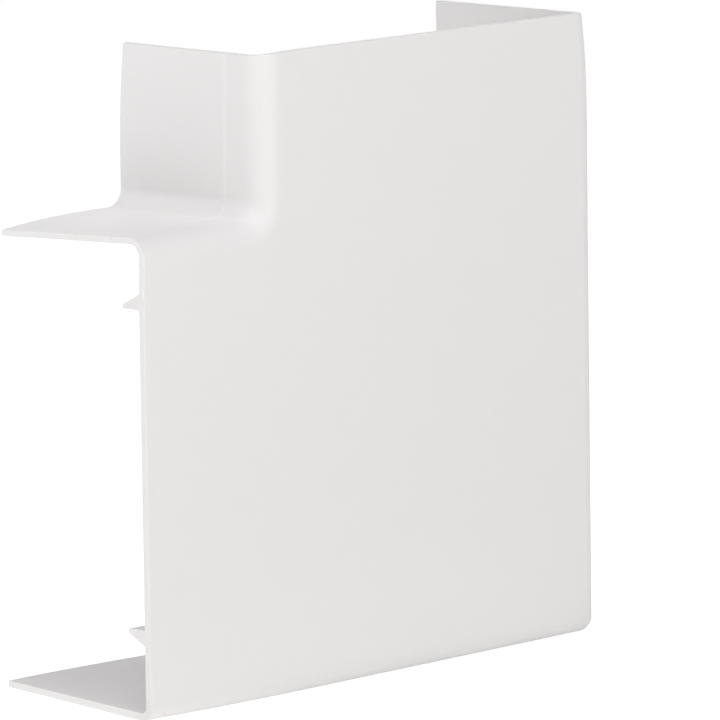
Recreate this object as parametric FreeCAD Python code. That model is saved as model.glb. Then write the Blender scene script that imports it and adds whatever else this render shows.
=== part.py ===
import FreeCAD, Part
import math
import os

# Flat angle for wall trunking: one moulded cover that slips over the corner where a
# horizontal and a vertical run of trunking meet.
# Millimetres. +X runs along the left arm towards the outer corner, +Y runs from the
# face into the wall, +Z runs up the top arm. The model is worked out from the notch
# corner of the L and is moved to its own origin at the end.

# Channel and shell
channel_width = 90.48     # clear width between the two walls of an arm, at the face
arm_reach = 31.77         # how far an arm stands out from the notch
cover_depth = 39.5        # from the face to the rim that meets the wall
face_thickness = 1.35     # the flat front
outer_wall_thickness = 1.55   # the two outer walls, by the face
outer_rim_thickness = 1.38    # the same, at the rim
notch_wall_thickness = 1.3    # the two notch walls, by the face
notch_rim_thickness = 1.12    # the same, at the rim

# Roundings
outer_edge_radius = 3.0       # outside, face into the two outer walls
outer_corner_fullness = 0.05  # by how much the L's outer corner is rounder than that edge
notch_edge_radius = 4.9       # outside, face into the two notch walls
notch_corner_radius = 3.6     # inner corner of the L, seen from the front
outer_rim_corner_radius = 0.6     # free corner of an outer wall at its mouth
notch_rim_corner_radius = 0.5     # free corner of a notch wall at its mouth
outer_inside_radius = 1.2     # inside, face into the two outer walls
notch_inside_radius = 2.6     # inside, face into the two notch walls
edge_break = 0.3              # rounding of the outside edges at the mouths

# The walls lean in towards the trunking, so that the cover grips it; they also thin out
# towards the rim, so that the moulding comes off its core
outer_lean = 2.42         # outer wall, at the rim and the mouth
outer_lean_fullness = 1.85    # how long the lean holds before it dies out at the corner
notch_lean = 0.54         # notch wall, at the rim
notch_toe = 1.4           # further lean of a notch wall at the rim, at the mouth
notch_toe_length = 24.0   # how far that runs in from the mouth
left_pinch = 0.65         # outer wall at the face, at the left mouth
left_pinch_length = 45.0
top_pinch = 1.6           # outer wall at the face, at the top mouth
top_pinch_length = 19.0

# The ends of the notch walls stand back a little from the mouths
end_dip = 0.5             # at the face
end_dip_rim = 1.08        # at the rim
end_dip_length = 13.0     # how far the dip runs on along the mouth

# Parting line of the mould: before it the notch walls draw in a little
parting_depth = 10.0      # from the face
parting_draw = 0.12
parting_slope = 0.6       # length of the small slope that brings them out again

# Clip hooks behind the face, two in each mouth
hook_height = 5.95        # behind the face's inner side
hook_root = 3.85
hook_tip = 0.85
hook_tip_radius = 0.35
hook_length = 9.0         # along the arm
hook_setback = 1.5        # from the mouth
hook_from_notch_wall = 12.78  # clear distance of the flat side from the wall's inside
hook_from_outer_wall = 16.4

# Working values
rim_allowance = 0.15      # what is cut off the rim past its broken edges
overrun = 4.0             # spare length on what is trimmed or cut away
spare_share = 0.25        # the same, as a share of a sloping cut
hook_sink = 0.6           # how far a hook's foot is let into the face
curve_points = 9          # points that a wall's curve is worked out at
tolerance = 1e-4          # closest that two different depths or reaches come

# Sizes that follow
arm_width = channel_width + outer_wall_thickness + notch_wall_thickness
outer_length = arm_reach + arm_width
outer_corner_radius = outer_edge_radius + outer_corner_fullness
rough_depth = cover_depth + edge_break + rim_allowance    # until the rim is cut square
inwards = FreeCAD.Vector(-1, 0, 1).normalize()    # from the outer corner to the notch


def outer_shift(station, depth, pinch, pinch_length):
    """How far an outer wall stands in, by its distance from the mouth and its depth."""
    share = station / outer_length
    rim = outer_lean * (1 - share) ** 2 * (1 + outer_lean_fullness * share)
    to_go = max(pinch_length - station, 0.0)
    face = pinch * (to_go / pinch_length) ** 2
    return face + (rim - face) * depth / cover_depth


def notch_shift(station, depth):
    """How far a notch wall stands in, by its distance from the mouth and its depth."""
    to_go = max(notch_toe_length - station, 0.0)
    rim = notch_lean + notch_toe * (to_go / notch_toe_length) ** 2
    return rim * depth / cover_depth


def wall_curve(place, first, last):
    """Smooth edge through the places of a wall between two stations."""
    step = (last - first) / (curve_points - 1)
    points = [place(first + step * i) for i in range(curve_points)]
    curve = Part.BSplineCurve()
    curve.interpolate(points)
    return curve.toShape()


def corner_arc(start, corner, end, radius):
    """Quarter round between two walls, with the corner where they would meet."""
    middle = corner.add(inwards * radius * (math.sqrt(2) - 1))
    return Part.Arc(start, middle, end).toShape()


def outer_walls(depth, inset):
    """Outer edge of the L, from the left mouth round the outer corner to the top one."""
    low = inset - arm_width
    right = arm_width - inset
    radius = outer_corner_radius - inset
    turn = outer_length - inset - radius

    def bottom(station):
        shift = outer_shift(station, depth, left_pinch, left_pinch_length)
        return FreeCAD.Vector(station - arm_reach, depth, low + shift)

    def side(station):
        shift = outer_shift(station, depth, top_pinch, top_pinch_length)
        return FreeCAD.Vector(right - shift, depth, arm_reach - station)

    corner = FreeCAD.Vector(right, depth, low)
    return [wall_curve(bottom, -overrun, turn),
            corner_arc(bottom(turn), corner, side(turn), radius),
            wall_curve(side, turn, -overrun)]


def notch_walls(depth, inset):
    """Notch edge of the L, from the top mouth round the notch corner to the left one."""
    place = inset + notch_shift(outer_length, depth)
    radius = notch_corner_radius + inset
    turn = arm_reach + place - radius

    def side(station):
        shift = inset + notch_shift(station, depth)
        return FreeCAD.Vector(shift, depth, arm_reach - station)

    def top(station):
        shift = inset + notch_shift(station, depth)
        return FreeCAD.Vector(station - arm_reach, depth, -shift)

    corner = FreeCAD.Vector(place, depth, -place)
    return [wall_curve(side, -overrun, turn),
            corner_arc(side(turn), corner, top(turn), radius),
            wall_curve(top, turn, -overrun)]


def start_of(edges):
    """First point of edges in a row."""
    return edges[0].valueAt(edges[0].FirstParameter)


def end_of(edges):
    """Last point of edges in a row."""
    return edges[-1].valueAt(edges[-1].LastParameter)


def l_outline(depth, outer_inset, notch_inset):
    """Closed L outline at one depth, with both mouths drawn out by the overrun."""
    outer = outer_walls(depth, outer_inset)
    notch = notch_walls(depth, notch_inset)
    top_mouth = Part.makeLine(end_of(outer), start_of(notch))
    left_mouth = Part.makeLine(end_of(notch), start_of(outer))
    return Part.Wire(outer + [top_mouth] + notch + [left_mouth])


def void_outline(depth, inset):
    """Closed outline of the open square beside the notch walls, at one depth."""
    notch = notch_walls(depth, inset)
    far = FreeCAD.Vector(-arm_reach - overrun, depth, arm_reach + overrun)
    back = [Part.makeLine(end_of(notch), far), Part.makeLine(far, start_of(notch))]
    return Part.Wire(notch + back)


def solid_between(first, second):
    """Solid whose sides run in straight lines from one outline to the other."""
    return Part.makeLoft([first, second], True, True)


def pick_edges(solid, chosen):
    """Edges of the solid whose bounding box passes the test."""
    return [edge for edge in solid.Edges if chosen(edge.BoundBox)]


def same(value, target):
    """True when two places are the same but for rounding."""
    return abs(value - target) < tolerance


def face_edges(depth, notch_side):
    """Test for the edges at one depth that lie along the notch or the outer walls."""
    middle = arm_width / 2

    def chosen(box):
        flat = same(box.YMin, depth) and same(box.YMax, depth)
        centre = box.Center
        by_notch = centre.x < middle and centre.z > -middle
        mouth = same(box.XLength, 0) and centre.x < 0 or same(box.ZLength, 0) and centre.z > 0
        return flat and by_notch == notch_side and not mouth

    return chosen


def mouth_outline(depth):
    """Closed outline that keeps what lies within the mouths, with their dips."""
    dip = end_dip + (end_dip_rim - end_dip) * depth / cover_depth
    radius = (end_dip_length ** 2 + dip ** 2) / (2 * dip)

    def point(across, along):
        return FreeCAD.Vector(across, depth, along)

    def dipped(beyond):
        """Place on the dip, by its distance from where the dip begins."""
        return arm_reach - radius + math.sqrt(radius ** 2 - beyond ** 2)

    far = arm_width + overrun
    side = end_dip_length / 2
    end = end_dip_length + 1
    left = [point(-arm_reach, -end_dip_length), point(-dipped(side), side - end_dip_length),
            point(-dipped(end), end - end_dip_length)]
    top = [point(end_dip_length - end, dipped(end)), point(end_dip_length - side, dipped(side)),
           point(end_dip_length, arm_reach)]
    outside = Part.makePolygon([top[2], point(far, arm_reach), point(far, -far),
                                point(-arm_reach, -far), left[0]])
    return Part.Wire([Part.Arc(*left).toShape(), Part.makeLine(left[2], top[0]),
                      Part.Arc(*top).toShape()] + outside.Edges)


def trim_at_mouths(solid):
    """Cut both arms off at their mouths."""
    first = mouth_outline(-overrun)
    last = mouth_outline(cover_depth + overrun)
    return solid.common(solid_between(first, last))


def outer_form():
    """The outside of the cover as a full block, with its rounded front edges."""
    block = solid_between(l_outline(0, 0, 0), l_outline(rough_depth, 0, 0))
    block = block.makeFillet(notch_edge_radius, pick_edges(block, face_edges(0, True)))
    block = block.makeFillet(outer_edge_radius, pick_edges(block, face_edges(0, False)))
    return trim_at_mouths(block)


def channel():
    """The space inside both arms, open at the mouths and at the back."""
    first = l_outline(face_thickness, outer_wall_thickness, notch_wall_thickness)
    last = l_outline(cover_depth + overrun, outer_rim_thickness, notch_rim_thickness)
    space = solid_between(first, last)
    for notch_side, radius in ((True, notch_inside_radius), (False, outer_inside_radius)):
        edges = pick_edges(space, face_edges(face_thickness, notch_side))
        space = space.makeFillet(radius, edges)
    return space


def hook(flat, towards_wall):
    """Outline of a clip hook across an arm: flat side, blunt tip and sloping back."""
    foot = face_thickness - hook_sink
    base = face_thickness
    tip = face_thickness + hook_height
    corners = [(foot, 0), (tip, 0), (tip, hook_tip), (base, hook_root), (foot, hook_root)]
    points = [FreeCAD.Vector(0, depth, flat + towards_wall * rise) for depth, rise in corners]
    wire = Part.makePolygon(points + points[:1])
    prism = Part.Face(wire).extrude(FreeCAD.Vector(hook_length, 0, 0))
    tip_edges = pick_edges(prism, lambda box: same(box.YMin, tip) and box.XLength > hook_tip)
    return prism.makeFillet(hook_tip_radius, tip_edges)


def mirrored(solid):
    """The same piece in the other arm: the L is alike about its diagonal."""
    return solid.mirror(FreeCAD.Vector(0, 0, 0), FreeCAD.Vector(1, 0, 1))


def hooks():
    """The two hooks of the left mouth, and their likes in the top mouth."""
    upper = hook(-notch_wall_thickness - hook_from_notch_wall, 1)
    lower = hook(-arm_width + outer_wall_thickness + hook_from_outer_wall, -1)
    left = [piece.translated(FreeCAD.Vector(hook_setback - arm_reach, 0, 0))
            for piece in (upper, lower)]
    return left + [mirrored(piece) for piece in left]


def rim_corner_edges(solid, notch_side):
    """Short edges across the walls where the rim meets the mouths."""
    thickest = max(outer_wall_thickness, notch_wall_thickness)

    def chosen(box):
        at_rim = same(box.YMin, rough_depth) and same(box.YMax, rough_depth)
        short = max(box.XLength, box.ZLength) < thickest + edge_break
        at_left = box.Center.x < end_dip_rim * 2 - arm_reach
        at_top = box.Center.z > arm_reach - end_dip_rim * 2
        reach = -box.Center.z if at_left else box.Center.x
        by_notch = reach < arm_width / 2
        return at_rim and short and (at_left or at_top) and by_notch == notch_side

    return pick_edges(solid, chosen)


def rounded_rim_corners(solid):
    """Round off the free corners of the walls."""
    for notch_side, radius in ((True, notch_rim_corner_radius), (False, outer_rim_corner_radius)):
        solid = solid.makeFillet(radius, rim_corner_edges(solid, notch_side))
    return solid


def drawn_in(solid):
    """Take the draw of the mould's front half off the notch walls."""
    start = notch_edge_radius + parting_slope
    outside = -spare_share * parting_draw
    before = void_outline(start - spare_share * (parting_depth - start), outside)
    deepest = void_outline(parting_depth, parting_draw)
    behind = void_outline(parting_depth + (1 + spare_share) * parting_slope, outside)
    return solid.cut(Part.makeLoft([before, deepest, behind], True, True))


def broken_edges(solid):
    """Break the one long edge that runs round the outside of both mouths and the rim."""
    def chosen(box):
        at_mouth = same(box.XMin, -arm_reach) and same(box.XMax, -arm_reach)
        return at_mouth and same(box.YMax, 0)

    return solid.makeFillet(edge_break, pick_edges(solid, chosen))


def square_rim(solid):
    """Cut the rim off flat, with the square edges that lie against the wall."""
    size = outer_length + 2 * overrun
    corner = FreeCAD.Vector(-arm_reach - overrun, cover_depth, -arm_width - overrun)
    return solid.cut(Part.makeBox(size, overrun, size, corner))


def flat_angle():
    """The whole cover, worked out from the notch corner."""
    shell = outer_form().cut(channel())
    shell = broken_edges(rounded_rim_corners(shell))
    for piece in hooks():
        shell = shell.fuse(piece)
    return square_rim(drawn_in(shell))


# The origin lies under the middle of the cover, on the surface that it stands on
to_origin = FreeCAD.Vector((arm_reach - arm_width) / 2, -cover_depth / 2, arm_width)

os.makedirs("parts", exist_ok=True)
cover = flat_angle().translated(to_origin)
cover.exportStep("parts/flat_angle_cover.step")
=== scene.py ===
import math

import bpy
from bpy.props import FloatProperty, FloatVectorProperty, PointerProperty, StringProperty
from bpy.types import Operator, Panel, PropertyGroup
from mathutils import Matrix, Vector


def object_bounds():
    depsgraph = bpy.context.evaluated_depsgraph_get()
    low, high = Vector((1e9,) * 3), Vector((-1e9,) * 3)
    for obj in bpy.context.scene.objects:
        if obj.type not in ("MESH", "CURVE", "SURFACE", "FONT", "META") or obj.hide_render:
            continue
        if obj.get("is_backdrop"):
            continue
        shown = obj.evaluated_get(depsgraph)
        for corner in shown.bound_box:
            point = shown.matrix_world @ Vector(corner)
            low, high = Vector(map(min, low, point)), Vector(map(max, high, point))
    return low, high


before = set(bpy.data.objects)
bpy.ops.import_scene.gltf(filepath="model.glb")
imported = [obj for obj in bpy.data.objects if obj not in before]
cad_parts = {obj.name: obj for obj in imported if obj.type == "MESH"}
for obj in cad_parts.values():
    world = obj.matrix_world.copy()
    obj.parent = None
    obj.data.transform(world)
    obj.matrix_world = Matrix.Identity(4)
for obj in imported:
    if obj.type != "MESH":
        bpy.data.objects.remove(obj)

bl_info = {
    "name": "Trunking Flat Angle",
    "version": (1, 0, 0),
    "blender": (4, 5, 0),
    "location": "View3D > Sidebar > Flat Angle",
    "description": "Finishes a moulded flat angle for wall trunking and lights it in a small studio",
    "category": "Object",
}

COVER = "flat_angle_cover"
MM = 0.001
WHITE = (1.0, 1.0, 1.0, 1.0)

# A map range that eases in and out, and a mix of two colours with its sockets
EASED = {"interpolation_type": "SMOOTHSTEP"}
COLOURS = {"data_type": "RGBA"}
FIRST_COLOUR = 6
SECOND_COLOUR = 7
MIXED_COLOUR = 2

# Nearly all of a noise pattern lies between these values
NOISE_LOW = 0.3
NOISE_HIGH = 0.7


class FLATANGLE_PG_plastic(PropertyGroup):
    """Rigid PVC, injection moulded in a finely eroded mould."""
    colour: StringProperty(
        name="Colour", description="Colour of the plastic, as an sRGB hex value",
        default="#E8E6E6")
    pigment_variation: FloatProperty(
        name="Pigment Variation", description="How much darker the darkest grains are",
        default=0.035, min=0.0, max=1.0, subtype="FACTOR")
    ior: FloatProperty(
        name="IOR", description="Refractive index of rigid PVC",
        default=1.53, min=1.0, max=3.0)
    roughness: FloatProperty(
        name="Roughness", description="Spread of the plastic's reflections",
        default=0.48, min=0.0, max=1.0, subtype="FACTOR")
    gloss_drift: FloatProperty(
        name="Gloss Drift", description="How far the roughness drifts either way",
        default=0.03, min=0.0, max=0.5, subtype="FACTOR")
    drift_width: FloatProperty(
        name="Drift Width", description="Distance over which the gloss drifts",
        default=30 * MM, min=1 * MM, max=1.0, precision=4, unit="LENGTH")
    grain_width: FloatProperty(
        name="Grain Width", description="Width of one grain of the moulded texture",
        default=0.45 * MM, min=0.05 * MM, max=3 * MM, precision=5, unit="LENGTH")
    grain_height: FloatProperty(
        name="Grain Height", description="Height of the moulded texture",
        default=0.006 * MM, min=0.0, max=0.1 * MM, precision=6, unit="LENGTH")
    arm_width: FloatProperty(
        name="Arm Width", description="Width of an arm, which places the notch in the box",
        default=93.33 * MM, min=1 * MM, max=1.0, precision=5, unit="LENGTH")
    parting_depth: FloatProperty(
        name="Parting Depth", description="Distance of the mould's parting line behind the face",
        default=10.3 * MM, min=0.0, max=0.1, precision=4, unit="LENGTH")
    parting_width: FloatProperty(
        name="Parting Width", description="Width of the parting line with its soft edges",
        default=1.4 * MM, min=0.01 * MM, max=5 * MM, precision=5, unit="LENGTH")
    # Painted highlight: the parting line's paler colour stands in for the light that the mould's
    # small step catches
    parting_highlight_colour: StringProperty(
        name="Parting Colour", description="Colour of the parting line, as an sRGB hex value",
        default="#EAE8E8")


class FLATANGLE_PG_studio(PropertyGroup):
    """Pale floor, lit softly from beneath, and white surroundings."""
    floor_colour: StringProperty(
        name="Floor Colour", description="Colour of the floor, as an sRGB hex value",
        default="#EDEDEB")
    floor_size: FloatProperty(
        name="Floor Size", description="Length of the floor's sides",
        default=12.0, min=1.0, max=50.0, unit="LENGTH")
    floor_light: FloatProperty(
        name="Floor Light", description="Strength of the light that the floor gives the cover",
        default=0.43, min=0.0, max=2.0)
    shade_width: FloatProperty(
        name="Shade Width", description="How far from the face's foot the floor gives less light",
        default=6 * MM, min=1 * MM, max=1.0, precision=4, unit="LENGTH")
    shade_light: FloatProperty(
        name="Shade Light", description="Strength of the floor's light right at the face's foot",
        default=0.15, min=0.0, max=2.0)
    patch_place: FloatVectorProperty(
        name="Patch Place", description="Middle of the floor's brighter patch",
        default=(-0.11, 0.0), size=2, precision=4, unit="LENGTH")
    patch_radius: FloatProperty(
        name="Patch Radius", description="Radius at which the brighter patch has faded away",
        default=0.13, min=0.001, max=2.0, precision=4, unit="LENGTH")
    patch_light: FloatProperty(
        name="Patch Light", description="Strength that the patch adds to the floor's light",
        default=0.23, min=0.0, max=2.0)
    seen_glow: FloatProperty(
        name="Seen Glow", description="Even white light that the camera sees on the floor",
        default=0.86, min=0.0, max=1.0, subtype="FACTOR")
    seen_shade: FloatProperty(
        name="Seen Shade", description="How much the camera sees of the shadow on the floor",
        default=0.42, min=0.0, max=1.0, subtype="FACTOR")
    surroundings: FloatProperty(
        name="Surroundings", description="Strength of the light from all round",
        default=0.055, min=0.0, max=2.0)


class FLATANGLE_PG_lamps(PropertyGroup):
    """Four soft lamps round the cover, and a lit card on the floor at its front left."""
    size: FloatProperty(
        name="Lamp Size", description="Side of each soft lamp",
        default=1.2, min=0.05, max=5.0, unit="LENGTH")
    distance: FloatProperty(
        name="Lamp Distance", description="Distance of each soft lamp from the cover",
        default=1.7, min=0.1, max=10.0, unit="LENGTH")
    left_power: FloatProperty(
        name="Left Power", description="Power of the lamp on the left",
        default=7.0, min=0.0, max=100.0, unit="POWER")
    left_turn: FloatProperty(
        name="Left Turn", description="Turn of the left lamp from -X towards -Y",
        default=math.radians(5), subtype="ANGLE")
    left_rise: FloatProperty(
        name="Left Rise", description="Angle of the left lamp above the level",
        default=math.radians(22), subtype="ANGLE")
    front_power: FloatProperty(
        name="Front Power", description="Power of the lamp in front of the face",
        default=7.6, min=0.0, max=100.0, unit="POWER")
    front_turn: FloatProperty(
        name="Front Turn", description="Turn of the front lamp from -X towards -Y",
        default=math.radians(95), subtype="ANGLE")
    front_rise: FloatProperty(
        name="Front Rise", description="Angle of the front lamp above the level",
        default=math.radians(22), subtype="ANGLE")
    back_power: FloatProperty(
        name="Back Power", description="Power of the lamp behind the rim",
        default=6.9, min=0.0, max=100.0, unit="POWER")
    back_turn: FloatProperty(
        name="Back Turn", description="Turn of the back lamp from -X towards -Y",
        default=math.radians(-60), subtype="ANGLE")
    back_rise: FloatProperty(
        name="Back Rise", description="Angle of the back lamp above the level",
        default=math.radians(22), subtype="ANGLE")
    top_power: FloatProperty(
        name="Top Power", description="Power of the lamp overhead",
        default=16.4, min=0.0, max=100.0, unit="POWER")
    top_turn: FloatProperty(
        name="Top Turn", description="Turn of the top lamp from -X towards -Y",
        default=math.radians(60), subtype="ANGLE")
    top_rise: FloatProperty(
        name="Top Rise", description="Angle of the top lamp above the level",
        default=math.radians(75), subtype="ANGLE")
    card_power: FloatProperty(
        name="Card Power", description="Power of the lit card on the floor",
        default=0.56, min=0.0, max=20.0, unit="POWER")
    card_size: FloatProperty(
        name="Card Size", description="Side of the lit card",
        default=0.4, min=0.05, max=5.0, unit="LENGTH")
    card_turn: FloatProperty(
        name="Card Turn", description="Turn of the lit card from -X towards -Y",
        default=math.radians(45), subtype="ANGLE")
    card_distance: FloatProperty(
        name="Card Distance", description="Distance of the lit card's middle from the cover's",
        default=0.45, min=0.1, max=5.0, unit="LENGTH")
    card_height: FloatProperty(
        name="Card Height", description="Height of the lit card above the floor",
        default=4 * MM, min=0.0, max=1.0, precision=4, unit="LENGTH")


class FLATANGLE_PG_camera(PropertyGroup):
    """The photograph's own view of the cover."""
    place: FloatVectorProperty(
        name="Place", description="Where the camera stands",
        default=(-0.995376, -0.989143, 0.281130), precision=5,
        subtype="TRANSLATION", unit="LENGTH")
    azimuth: FloatProperty(
        name="Azimuth", description="Turn of the view from +Y towards +X",
        default=math.radians(45.6176), subtype="ANGLE")
    descent: FloatProperty(
        name="Descent", description="How far the view slopes down",
        default=math.radians(8.9322), subtype="ANGLE")
    roll: FloatProperty(
        name="Roll", description="Turn of the picture about the view, clockwise",
        default=math.radians(0.7514), subtype="ANGLE")
    focal_length: FloatProperty(
        name="Focal Length", description="Focal length in millimetres",
        default=362.77, min=1.0, max=1000.0)
    sensor_width: FloatProperty(
        name="Sensor Width", description="Width of the camera's sensor in millimetres",
        default=36.0, min=1.0, max=100.0)


class FLATANGLE_PG_settings(PropertyGroup):
    """All that can be set for the picture."""
    plastic: PointerProperty(type=FLATANGLE_PG_plastic)
    studio: PointerProperty(type=FLATANGLE_PG_studio)
    lamps: PointerProperty(type=FLATANGLE_PG_lamps)
    camera: PointerProperty(type=FLATANGLE_PG_camera)


def linear(hex_colour):
    """Linear RGBA of an sRGB hex colour, as the shaders take it."""
    text = hex_colour.lstrip("#")
    channels = [int(text[i:i + 2], 16) / 255 for i in (0, 2, 4)]
    return [c / 12.92 if c <= 0.04045 else ((c + 0.055) / 1.055) ** 2.4 for c in channels] + [1.0]


def add_node(tree, kind, settings=None, inputs=None, links=None):
    """One shader node with its settings, its input values and what feeds its inputs."""
    node = tree.nodes.new(kind)
    for name, value in (settings or {}).items():
        setattr(node, name, value)
    for name, value in (inputs or {}).items():
        node.inputs[name].default_value = value
    for name, socket in (links or {}).items():
        tree.links.new(socket, node.inputs[name])
    return node


def empty_tree(owner):
    """Node tree of a new material or world, with nothing in it yet."""
    owner.use_nodes = True
    owner.node_tree.nodes.clear()
    return owner.node_tree


def parting_highlight_mask(tree, place, plastic):
    """Where the painted highlight goes: 1 on the mould's parting line, on the two notch walls, and 0
    elsewhere.
    """
    low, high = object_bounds()
    split = add_node(tree, "ShaderNodeSeparateXYZ", links={0: place})
    offset = add_node(
        tree, "ShaderNodeMath", settings={"operation": "SUBTRACT"},
        inputs={1: low[1] + plastic.parting_depth}, links={0: split.outputs["Y"]})
    distance = add_node(
        tree, "ShaderNodeMath", settings={"operation": "ABSOLUTE"}, links={0: offset.outputs[0]})
    line = add_node(
        tree, "ShaderNodeMapRange", settings=EASED,
        inputs={"From Min": 0.0, "From Max": plastic.parting_width / 2,
                "To Min": 1.0, "To Max": 0.0},
        links={"Value": distance.outputs[0]})

    # The margin takes in the notch walls' thickness and their lean
    margin = 4 * MM
    beside = add_node(
        tree, "ShaderNodeMath", settings={"operation": "LESS_THAN"},
        inputs={1: high[0] - plastic.arm_width + margin}, links={0: split.outputs["X"]})
    above = add_node(
        tree, "ShaderNodeMath", settings={"operation": "GREATER_THAN"},
        inputs={1: low[2] + plastic.arm_width - margin}, links={0: split.outputs["Z"]})
    by_notch = add_node(
        tree, "ShaderNodeMath", settings={"operation": "MULTIPLY"},
        links={0: beside.outputs[0], 1: above.outputs[0]})
    both = add_node(
        tree, "ShaderNodeMath", settings={"operation": "MULTIPLY"},
        links={0: by_notch.outputs[0], 1: line.outputs[0]})
    return both.outputs[0]


def moulded_pvc(plastic):
    """White rigid PVC, injection moulded: an even pale colour and a low, soft sheen."""
    material = bpy.data.materials.new("moulded_rigid_pvc")
    tree = empty_tree(material)
    place = add_node(tree, "ShaderNodeTexCoord").outputs["Object"]

    # The eroded mould leaves a fine pebble grain about 0.1 mm wide. That is too fine to
    # show in the picture, so it is drawn a few times coarser, and shallow to make up for it
    grain = add_node(
        tree, "ShaderNodeTexNoise",
        inputs={"Scale": 1 / plastic.grain_width, "Detail": 2.0, "Roughness": 0.55},
        links={"Vector": place})
    pebbles = add_node(
        tree, "ShaderNodeBump",
        inputs={"Strength": 1.0, "Distance": plastic.grain_height},
        links={"Height": grain.outputs[0]})

    # Flow of the melt: the gloss drifts a little along the moulding
    flow = add_node(
        tree, "ShaderNodeTexNoise",
        inputs={"Scale": 1 / plastic.drift_width, "Detail": 1.0},
        links={"Vector": place})
    sheen = add_node(
        tree, "ShaderNodeMapRange",
        inputs={"From Min": NOISE_LOW, "From Max": NOISE_HIGH,
                "To Min": plastic.roughness - plastic.gloss_drift,
                "To Max": plastic.roughness + plastic.gloss_drift},
        links={"Value": flow.outputs[0]})

    # Pigment: the white varies by one or two parts in a hundred between grains
    pale = linear(plastic.colour)
    dark = [channel * (1 - plastic.pigment_variation) for channel in pale[:3]] + [1.0]
    pigment = add_node(
        tree, "ShaderNodeMix", settings=COLOURS,
        inputs={FIRST_COLOUR: dark, SECOND_COLOUR: pale}, links={"Factor": grain.outputs[0]})

    # The halves of the mould meet in a fine line, painted a little paler as a painted highlight for
    # the light its small step catches
    colour = add_node(
        tree, "ShaderNodeMix", settings=COLOURS,
        inputs={SECOND_COLOUR: linear(plastic.parting_highlight_colour)},
        links={"Factor": parting_highlight_mask(tree, place, plastic),
               FIRST_COLOUR: pigment.outputs[MIXED_COLOUR]})

    body = add_node(
        tree, "ShaderNodeBsdfPrincipled",
        inputs={"IOR": plastic.ior},
        links={"Base Color": colour.outputs[MIXED_COLOUR], "Roughness": sheen.outputs[0],
               "Normal": pebbles.outputs[0]})
    add_node(tree, "ShaderNodeOutputMaterial", links={"Surface": body.outputs[0]})
    return material


def seen_as_background(tree):
    """1 for rays of the camera, of reflections and through glass, and 0 for the rest."""
    path = add_node(tree, "ShaderNodeLightPath")
    mirrored = add_node(
        tree, "ShaderNodeMath", settings={"operation": "MAXIMUM"},
        links={0: path.outputs["Is Camera Ray"], 1: path.outputs["Is Glossy Ray"]})
    through = add_node(
        tree, "ShaderNodeMath", settings={"operation": "MAXIMUM"},
        links={0: mirrored.outputs[0], 1: path.outputs["Is Transmission Ray"]})
    return through.outputs[0]


def light_beneath(tree, studio):
    """Strength of the floor's light: less at the face's foot, more beside the left mouth."""
    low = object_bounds()[0]
    place = add_node(tree, "ShaderNodeTexCoord").outputs["Object"]
    split = add_node(tree, "ShaderNodeSeparateXYZ", links={0: place})
    behind_face = add_node(
        tree, "ShaderNodeMath", settings={"operation": "SUBTRACT"},
        inputs={1: low[1]}, links={0: split.outputs["Y"]})
    from_face = add_node(
        tree, "ShaderNodeMath", settings={"operation": "ABSOLUTE"},
        links={0: behind_face.outputs[0]})
    shaded = add_node(
        tree, "ShaderNodeMapRange", settings=EASED,
        inputs={"From Min": 0.0, "From Max": studio.shade_width,
                "To Min": studio.shade_light, "To Max": studio.floor_light},
        links={"Value": from_face.outputs[0]})
    from_patch = add_node(
        tree, "ShaderNodeVectorMath", settings={"operation": "DISTANCE"},
        inputs={1: (studio.patch_place[0], studio.patch_place[1], 0.0)}, links={0: place})
    patch = add_node(
        tree, "ShaderNodeMapRange", settings=EASED,
        inputs={"From Min": 0.0, "From Max": studio.patch_radius,
                "To Min": studio.patch_light, "To Max": 0.0},
        links={"Value": from_patch.outputs["Value"]})
    strength = add_node(
        tree, "ShaderNodeMath", settings={"operation": "ADD"},
        links={0: shaded.outputs[0], 1: patch.outputs[0]})
    return strength.outputs[0]


def studio_floor(studio):
    """Matt painted board, lit softly from beneath: seen white, with a soft grey shadow."""
    material = bpy.data.materials.new("matt_painted_board")
    tree = empty_tree(material)

    # What lights the cover: the board and the light beneath it
    board = add_node(
        tree, "ShaderNodeBsdfDiffuse", inputs={"Color": linear(studio.floor_colour)})
    beneath = add_node(
        tree, "ShaderNodeEmission", inputs={"Color": WHITE},
        links={"Strength": light_beneath(tree, studio)})
    lit_board = add_node(
        tree, "ShaderNodeAddShader", links={0: board.outputs[0], 1: beneath.outputs[0]})

    # What the camera sees: a white board that keeps the cover's shadow
    grey = [studio.seen_shade] * 3 + [1.0]
    lamplight = add_node(tree, "ShaderNodeBsdfDiffuse", inputs={"Color": grey})
    glow = add_node(
        tree, "ShaderNodeEmission", inputs={"Color": WHITE, "Strength": studio.seen_glow})
    seen = add_node(
        tree, "ShaderNodeAddShader", links={0: lamplight.outputs[0], 1: glow.outputs[0]})

    # What glossy surfaces mirror: plain white
    white = add_node(tree, "ShaderNodeEmission", inputs={"Color": WHITE, "Strength": 1.0})
    path = add_node(tree, "ShaderNodeLightPath")
    background = add_node(
        tree, "ShaderNodeMixShader",
        links={0: path.outputs["Is Glossy Ray"], 1: seen.outputs[0], 2: white.outputs[0]})
    chosen = add_node(
        tree, "ShaderNodeMixShader",
        links={0: seen_as_background(tree), 1: lit_board.outputs[0], 2: background.outputs[0]})
    add_node(tree, "ShaderNodeOutputMaterial", links={"Surface": chosen.outputs[0]})
    return material


def middle_of_cover():
    """Middle of the cover's box, which the lamps face."""
    low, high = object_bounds()
    return (Vector(low) + Vector(high)) / 2


def way_out(turn, rise):
    """Direction away from the cover, turned from -X towards -Y and then raised."""
    level = math.cos(rise)
    return Vector((-level * math.cos(turn), -level * math.sin(turn), math.sin(rise)))


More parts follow.
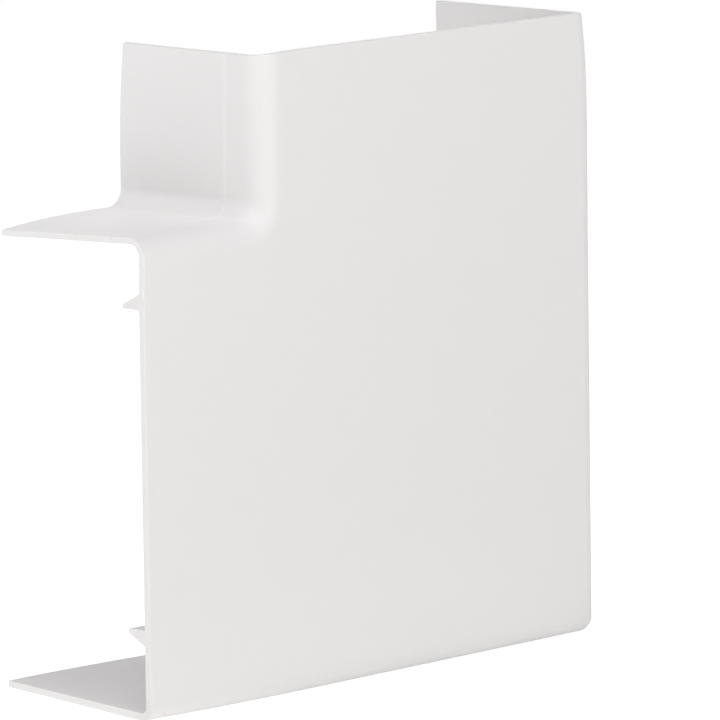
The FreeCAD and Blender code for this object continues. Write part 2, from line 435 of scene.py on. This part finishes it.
class FLATANGLE_OT_finish_cover(Operator):
    """Give the moulded cover its plastic"""
    bl_idname = "flatangle.finish_cover"
    bl_label = "Finish Cover"

    def execute(self, context):
        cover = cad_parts[COVER]
        pvc = moulded_pvc(context.scene.flat_angle.plastic)
        for slot in cover.material_slots:
            slot.material = pvc
        return {"FINISHED"}


class FLATANGLE_OT_set_stage(Operator):
    """Lay the floor and the lit card, hang the lamps and light the surroundings"""
    bl_idname = "flatangle.set_stage"
    bl_label = "Set Stage"

    def execute(self, context):
        studio = context.scene.flat_angle.studio
        lamps = context.scene.flat_angle.lamps
        self.lay_floor(studio)
        for side in ("left", "front", "back", "top"):
            self.hang_lamp(side, lamps)
        self.lay_card(lamps)
        self.light_surroundings(context.scene, studio)
        context.scene.view_settings.view_transform = "Standard"
        return {"FINISHED"}

    def lay_floor(self, studio):
        """One flat square under the cover."""
        half = studio.floor_size / 2
        mesh = bpy.data.meshes.new("studio_floor")
        corners = [(-half, -half, 0), (half, -half, 0), (half, half, 0), (-half, half, 0)]
        mesh.from_pydata(corners, [], [(0, 1, 2, 3)])
        mesh.materials.append(studio_floor(studio))
        floor = bpy.data.objects.new("studio_floor", mesh)
        bpy.context.collection.objects.link(floor)
        floor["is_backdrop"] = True

    def hang_lamp(self, side, lamps):
        """One soft lamp that faces the cover from its side."""
        way = way_out(getattr(lamps, side + "_turn"), getattr(lamps, side + "_rise"))
        lamp = self.soft_light(side + "_lamp", getattr(lamps, side + "_power"), lamps.size)
        lamp.location = middle_of_cover() + lamps.distance * way
        lamp.rotation_euler = (-way).to_track_quat("-Z", "Y").to_euler()

    def lay_card(self, lamps):
        """The lit card, close above the floor and facing up."""
        card = self.soft_light("lit_card", lamps.card_power, lamps.card_size)
        card.location = lamps.card_distance * way_out(lamps.card_turn, 0.0)
        card.location.z = lamps.card_height
        card.rotation_euler = (math.pi, 0.0, lamps.card_turn)

    def soft_light(self, name, power, size):
        """A square light that the camera doesn't see."""
        data = bpy.data.lights.new(name, "AREA")
        data.energy = power
        data.size = size
        light = bpy.data.objects.new(name, data)
        light.visible_camera = False
        bpy.context.collection.objects.link(light)
        return light

    def light_surroundings(self, scene, studio):
        """Faint even light from all round, seen as white."""
        world = bpy.data.worlds.new("white_surroundings")
        tree = empty_tree(world)
        light = add_node(
            tree, "ShaderNodeBackground",
            inputs={"Color": WHITE, "Strength": studio.surroundings})
        white = add_node(
            tree, "ShaderNodeBackground", inputs={"Color": WHITE, "Strength": 1.0})
        chosen = add_node(
            tree, "ShaderNodeMixShader",
            links={0: seen_as_background(tree), 1: light.outputs[0], 2: white.outputs[0]})
        add_node(tree, "ShaderNodeOutputWorld", links={"Surface": chosen.outputs[0]})
        scene.world = world


class FLATANGLE_OT_place_camera(Operator):
    """Stand the camera where the photograph was taken from"""
    bl_idname = "flatangle.place_camera"
    bl_label = "Place Camera"

    def execute(self, context):
        view = context.scene.flat_angle.camera
        data = bpy.data.cameras.new("photo_camera")
        data.sensor_width = view.sensor_width
        data.lens = view.focal_length
        camera = bpy.data.objects.new("photo_camera", data)
        turn = (Matrix.Rotation(-view.azimuth, 4, "Z")
                @ Matrix.Rotation(math.pi / 2 - view.descent, 4, "X")
                @ Matrix.Rotation(-view.roll, 4, "Z"))
        camera.matrix_world = Matrix.Translation(view.place) @ turn
        bpy.context.collection.objects.link(camera)
        context.scene.camera = camera
        return {"FINISHED"}


class FLATANGLE_PT_panel(Panel):
    """Settings and steps of the picture."""
    bl_idname = "FLATANGLE_PT_panel"
    bl_label = "Flat Angle"
    bl_space_type = "VIEW_3D"
    bl_region_type = "UI"
    bl_category = "Flat Angle"

    def draw(self, context):
        settings = context.scene.flat_angle
        for title, groups, operator in (
                ("Plastic", [settings.plastic], FLATANGLE_OT_finish_cover),
                ("Studio and Lamps", [settings.studio, settings.lamps], FLATANGLE_OT_set_stage),
                ("Camera", [settings.camera], FLATANGLE_OT_place_camera)):
            box = self.layout.box()
            box.label(text=title)
            for group in groups:
                for name in group.__annotations__:
                    box.prop(group, name)
            box.operator(operator.bl_idname)


CLASSES = (
    FLATANGLE_PG_plastic,
    FLATANGLE_PG_studio,
    FLATANGLE_PG_lamps,
    FLATANGLE_PG_camera,
    FLATANGLE_PG_settings,
    FLATANGLE_OT_finish_cover,
    FLATANGLE_OT_set_stage,
    FLATANGLE_OT_place_camera,
    FLATANGLE_PT_panel,
)


def register():
    for cls in CLASSES:
        bpy.utils.register_class(cls)
    bpy.types.Scene.flat_angle = PointerProperty(type=FLATANGLE_PG_settings)


def unregister():
    del bpy.types.Scene.flat_angle
    for cls in reversed(CLASSES):
        bpy.utils.unregister_class(cls)


def main():
    """Make the whole picture."""
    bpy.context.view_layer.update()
    register()
    bpy.ops.flatangle.finish_cover()
    bpy.ops.flatangle.set_stage()
    bpy.ops.flatangle.place_camera()


if __name__ == "__main__":
    main()
